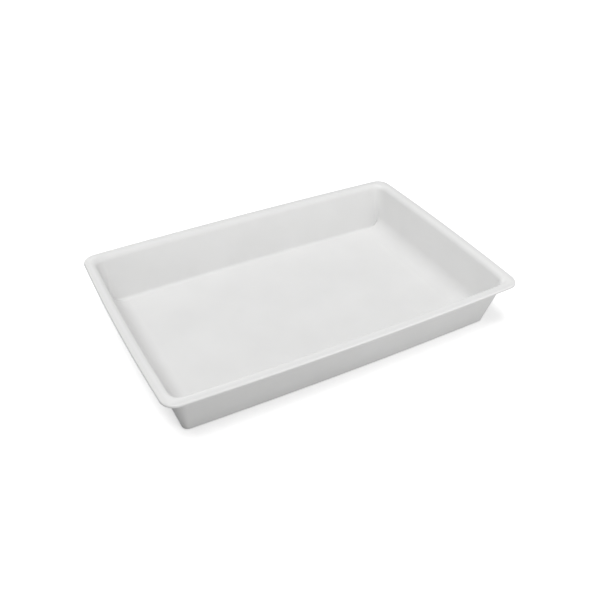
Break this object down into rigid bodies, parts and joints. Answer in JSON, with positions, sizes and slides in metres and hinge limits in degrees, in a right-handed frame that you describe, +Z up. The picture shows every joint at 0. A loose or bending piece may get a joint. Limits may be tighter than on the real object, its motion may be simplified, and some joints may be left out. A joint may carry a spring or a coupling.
{
  "type": "developing tray",
  "caption": "Shallow white plastic darkroom tray with sloping walls, rounded corners and a rolled lip, for soaking sheets of film or paper.",
  "frame": {"origin": "middle of the footprint, on the plane that the tray stands on", "axes": "+X along the tray's length, +Y across its width, +Z up out of its open top"},
  "size_m": [0.4, 0.27, 0.058],
  "materials": {
    "tray_plastic": "satin off-white moulded polypropylene"
  },
  "bodies": {
    "root": {"tray": "tray_plastic"}
  },
  "joints": []
}
